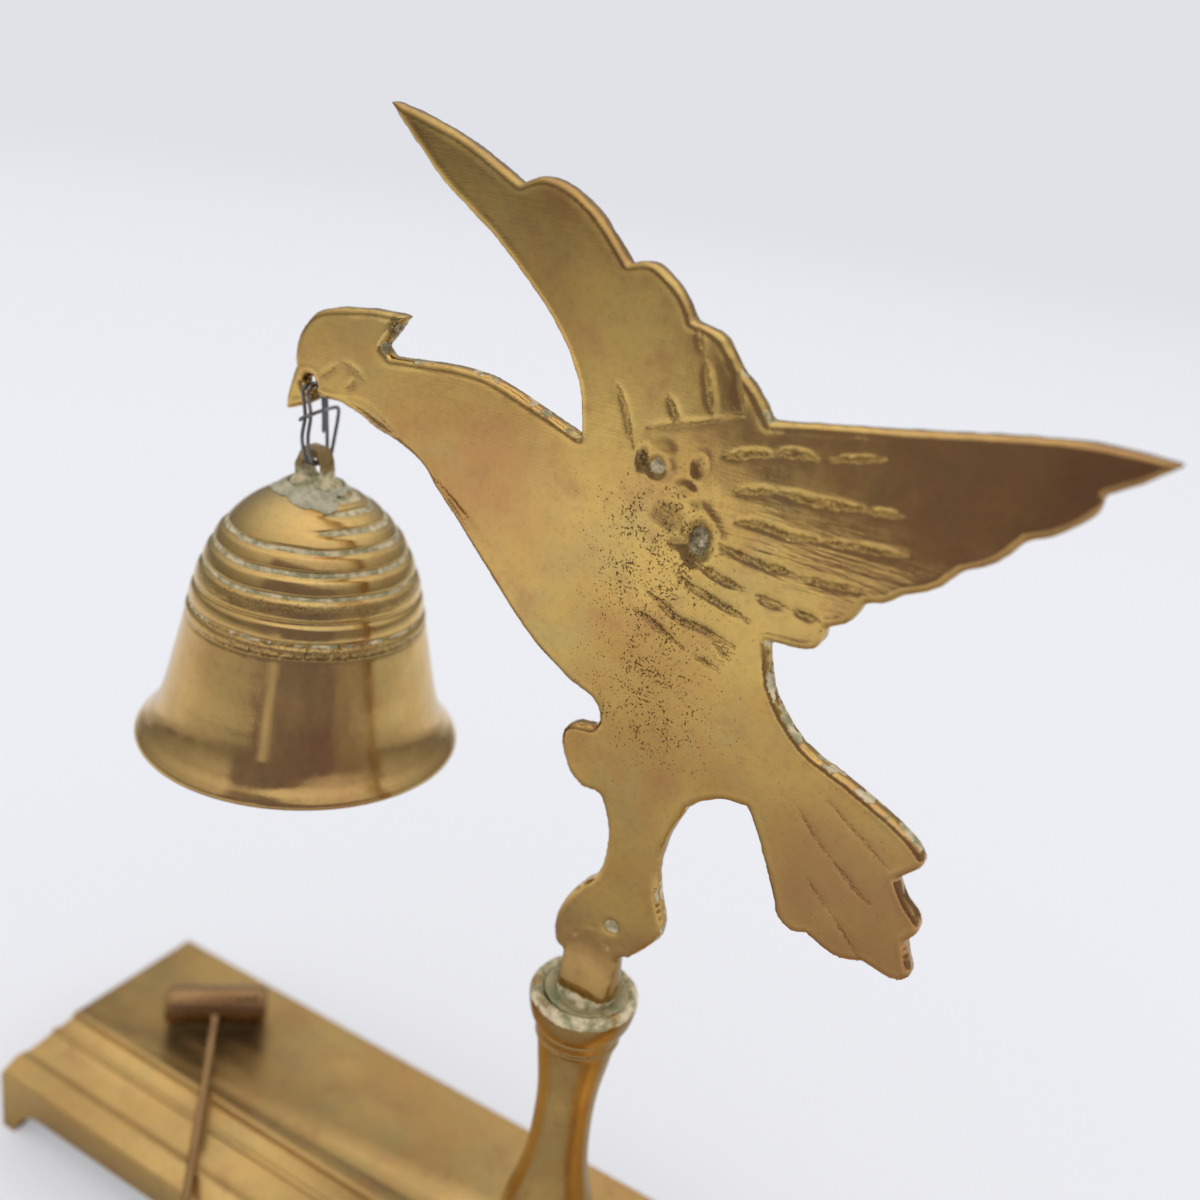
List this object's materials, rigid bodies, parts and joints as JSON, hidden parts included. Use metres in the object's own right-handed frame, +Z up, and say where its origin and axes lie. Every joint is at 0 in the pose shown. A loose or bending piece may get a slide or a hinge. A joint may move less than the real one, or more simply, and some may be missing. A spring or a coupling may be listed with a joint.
{
  "type": "table bell",
  "caption": "Brass table bell hung by a wire loop from the beak of a flat cast bird on a turned column, with a loose mallet on its long moulded base.",
  "frame": {"origin": "bottom centre of the bounding box, on the table plane; the column's axis is 16.5 mm behind it", "axes": "+X along the base from the bell's end to the bird's tail, +Y to the plain back of the base, +Z up"},
  "size_m": [0.243, 0.0928, 0.2236],
  "materials": {
    "base_brass": "drawn and polished, aged to a soft tan",
    "column_brass": "turned and polished, aged",
    "bird_brass": "sand cast, one face ground flat and polished, with casting pits",
    "bell_brass": "turned and polished, verdigris in the ring grooves",
    "lug_brass": "dull and tarnished",
    "mallet_brass": "satin, aged",
    "solder": "soft solder under grey-green verdigris, matt",
    "wire_steel": "dark annealed wire",
    "steel": "plain turned steel"
  },
  "bodies": {
    "stand": {"base": "base_brass", "column": "column_brass", "column_screw": "steel", "screw_washer": "steel", "bird": "bird_brass", "socket_solder": "solder"},
    "wire": {"hanging_wire": "wire_steel"},
    "bell": {"bell": "bell_brass", "crown_lug": "lug_brass", "crown_solder": "solder"},
    "mallet": {"mallet_head": "mallet_brass", "mallet_rod": "mallet_brass"}
  },
  "joints": [
    {"name": "wire_swing", "type": "hinge", "parent": "stand", "child": "wire", "pos_m": [-0.069, 0.0165, 0.1761], "axis": [0, 1, 0], "range_deg": [-15, 20]},
    {"name": "bell_tilt", "type": "hinge", "parent": "wire", "child": "bell", "pos_m": [-0.0676, 0.0165, 0.1626], "axis": [1, 0, 0], "range_deg": [-7, 7]},
    {"name": "mallet_lift", "type": "slide", "parent": "stand", "child": "mallet", "axis": [0, -0.9063, 0.4226], "range_m": [0, 0.12]}
  ]
}
